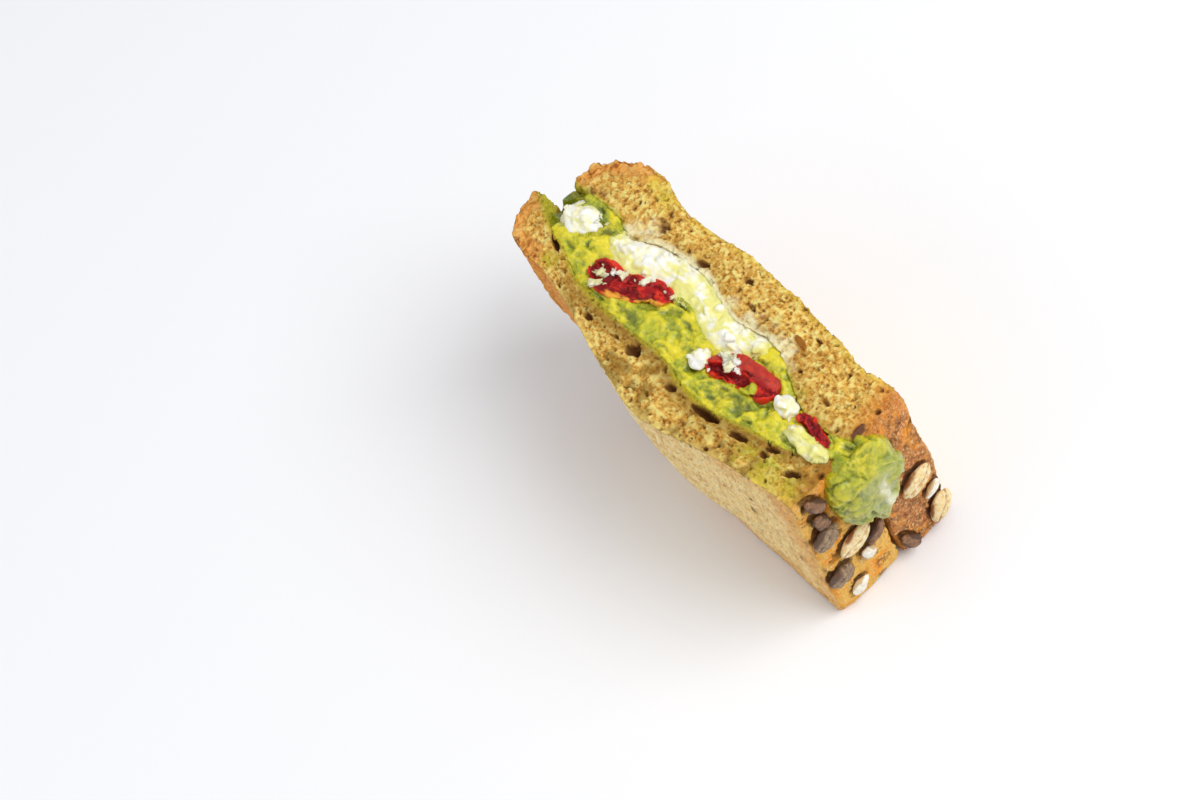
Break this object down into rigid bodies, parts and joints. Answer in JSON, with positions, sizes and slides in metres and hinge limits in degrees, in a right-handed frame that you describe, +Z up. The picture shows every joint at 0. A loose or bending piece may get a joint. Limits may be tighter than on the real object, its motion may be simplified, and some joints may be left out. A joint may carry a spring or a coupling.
{
  "type": "avocado toast sandwich half",
  "caption": "Half of a toasted multigrain sandwich with mashed avocado, crumbly white cheese and sun-dried tomato, standing with its cut face up.",
  "frame": {"origin": "under the middle of the sandwich, on the surface that it stands on", "axes": "+X from the loaf's domed crust to its seeded base crust, +Y from the slice under the avocado to the slice over the cheese, +Z up to the cut face"},
  "size_m": [0.1237, 0.0498, 0.0659],
  "materials": {
    "bread": "toasted crumb and crust, dry and matt",
    "avocado": "mashed, moist and glossy",
    "cheese": "crumbly and slightly moist",
    "tomato": "oily, wrinkled and glossy"
  },
  "bodies": {
    "root": {"slice_bottom": "bread", "slice_top": "bread", "avocado": "avocado", "cheese_band": "cheese", "cheese_crown": "cheese", "cheese_lump_1": "cheese", "cheese_lump_2": "cheese", "cheese_lump_3": "cheese", "tomato_1": "tomato", "tomato_2": "tomato", "tomato_3": "tomato"}
  },
  "joints": []
}
